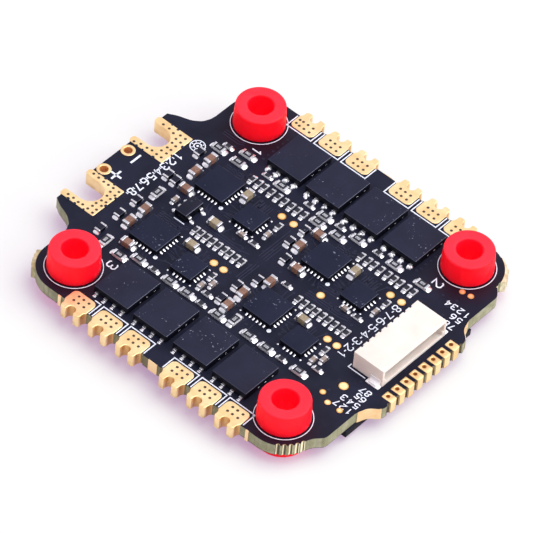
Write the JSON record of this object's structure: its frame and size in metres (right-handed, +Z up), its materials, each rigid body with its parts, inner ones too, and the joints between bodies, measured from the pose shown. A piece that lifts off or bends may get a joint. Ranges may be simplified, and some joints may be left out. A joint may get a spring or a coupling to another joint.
{
  "type": "motor speed controller board",
  "caption": "Square stack-mounted circuit board for a small multirotor that drives its motors, with power transistors, edge solder pads, a signal connector and soft corner grommets.",
  "frame": {"origin": "centre of the 30.5 x 30.5 mm hole pattern, on the plane of the grommets' feet", "axes": "+X towards the signal connector, away from the battery pads; +Y towards the motor 1 and 2 pads; +Z up, out of the component side"},
  "size_m": [0.046, 0.0408, 0.0063],
  "materials": {
    "solder_mask": "dark blue-black solder mask over glass-epoxy laminate, satin gloss",
    "gold_plate": "immersion gold over nickel and copper, satin",
    "silicone": "matte red silicone",
    "transistor_epoxy": "fine-grained black moulding compound",
    "chip_epoxy": "fine-grained black moulding compound",
    "small_chip_epoxy": "black moulding compound",
    "brown_ceramic": "fired brown ceramic with tinned ends",
    "beige_ceramic": "fired beige ceramic with tinned ends",
    "resistor_film": "black overglaze on white alumina with tinned ends",
    "shunt_metal": "bare resistance alloy with black coat",
    "connector_plastic": "ivory moulded nylon",
    "tinned_contact": "tinned phosphor bronze",
    "solder": "bright reflowed solder"
  },
  "bodies": {
    "board": {"battery_pad_negative": "gold_plate", "battery_pad_positive": "gold_plate", "beige_ceramic_capacitors": "beige_ceramic", "board_laminate": "solder_mask", "brown_ceramic_capacitors": "brown_ceramic", "capacitor_pads": "gold_plate", "connector_contacts": "tinned_contact", "connector_housing": "connector_plastic", "connector_solder_tabs": "solder", "current_sense_resistor": "shunt_metal", "edge_plating": "gold_plate", "gate_driver_1": "chip_epoxy", "gate_driver_2": "chip_epoxy", "gate_driver_3": "chip_epoxy", "gate_driver_4": "chip_epoxy", "input_capacitors_bottom": "brown_ceramic", "marked_resistors": "resistor_film", "microcontroller_1": "chip_epoxy", "microcontroller_2": "chip_epoxy", "microcontroller_3": "chip_epoxy", "microcontroller_4": "chip_epoxy", "mosfets_bottom_motor_1": "transistor_epoxy", "mosfets_bottom_motor_2": "transistor_epoxy", "mosfets_bottom_motor_3": "transistor_epoxy", "mosfets_bottom_motor_4": "transistor_epoxy", "mosfets_top_motor_1": "transistor_epoxy", "mosfets_top_motor_2": "transistor_epoxy", "mosfets_top_motor_3": "transistor_epoxy", "mosfets_top_motor_4": "transistor_epoxy", "motor_pads_1": "gold_plate", "motor_pads_2": "gold_plate", "motor_pads_3": "gold_plate", "motor_pads_4": "gold_plate", "resistor_row_motor_1": "resistor_film", "resistor_row_motor_2": "resistor_film", "resistor_row_motor_3": "resistor_film", "resistor_row_motor_4": "resistor_film", "schottky_diodes": "small_chip_epoxy", "signal_pads": "gold_plate", "small_ceramic_capacitors": "beige_ceramic", "small_resistors": "resistor_film", "solder_joints": "solder", "test_pads": "gold_plate", "voltage_regulator": "small_chip_epoxy"},
    "grommet_1": {"grommet_1": "silicone"},
    "grommet_2": {"grommet_2": "silicone"},
    "grommet_3": {"grommet_3": "silicone"},
    "grommet_4": {"grommet_4": "silicone"}
  },
  "joints": [
    {"name": "grommet_1_swivel", "type": "hinge", "parent": "board", "child": "grommet_1", "pos_m": [-0.01525, 0.01525, 0.0025], "axis": [0, 0, 1], "continuous": true},
    {"name": "grommet_2_swivel", "type": "hinge", "parent": "board", "child": "grommet_2", "pos_m": [0.01525, 0.01525, 0.0025], "axis": [0, 0, 1], "continuous": true},
    {"name": "grommet_3_swivel", "type": "hinge", "parent": "board", "child": "grommet_3", "pos_m": [-0.01525, -0.01525, 0.0025], "axis": [0, 0, 1], "continuous": true},
    {"name": "grommet_4_swivel", "type": "hinge", "parent": "board", "child": "grommet_4", "pos_m": [0.01525, -0.01525, 0.0025], "axis": [0, 0, 1], "continuous": true}
  ]
}
